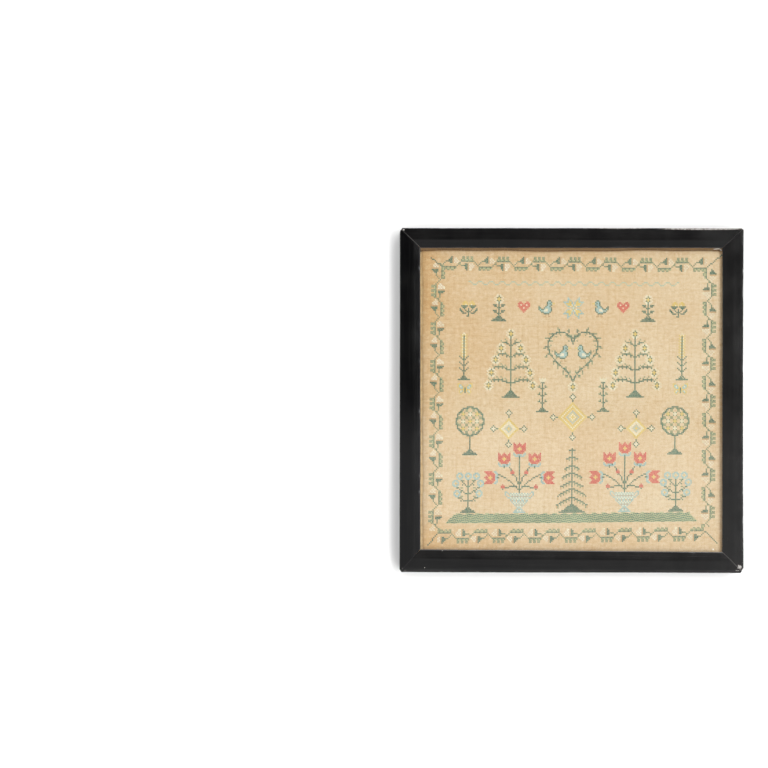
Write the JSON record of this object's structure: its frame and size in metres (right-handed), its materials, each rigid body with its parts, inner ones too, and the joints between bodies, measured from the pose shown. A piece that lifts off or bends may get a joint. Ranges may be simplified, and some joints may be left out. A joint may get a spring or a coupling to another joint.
{
  "type": "framed cross stitch sampler",
  "caption": "Square stitched linen sampler behind glass in a mitred glossy black wood frame, lying on its back with its thin back board.",
  "frame": {"origin": "middle of the frame in plan, on the surface that the rear faces of the rails lie on", "axes": "+Z out of the face of the frame, +Y towards the top rail, +X towards the right rail"},
  "size_m": [0.36, 0.36, 0.018],
  "materials": {
    "ebonised_wood": "glossy black paint, worn at the arrises",
    "window_glass": "clear, polished",
    "stitched_linen": "plain weave, aged tan, cross stitched",
    "aged_board": "raw, aged",
    "silk_dark_green": "silk thread",
    "silk_sage": "silk thread",
    "silk_cream": "silk thread",
    "silk_pale_blue": "silk thread",
    "silk_yellow": "silk thread",
    "silk_coral": "silk thread",
    "silk_tan": "silk thread"
  },
  "bodies": {
    "root": {"rail_bottom": "ebonised_wood", "rail_right": "ebonised_wood", "rail_top": "ebonised_wood", "rail_left": "ebonised_wood", "back_board": "aged_board", "sampler_cloth": "stitched_linen", "glass_pane": "window_glass"}
  },
  "joints": []
}
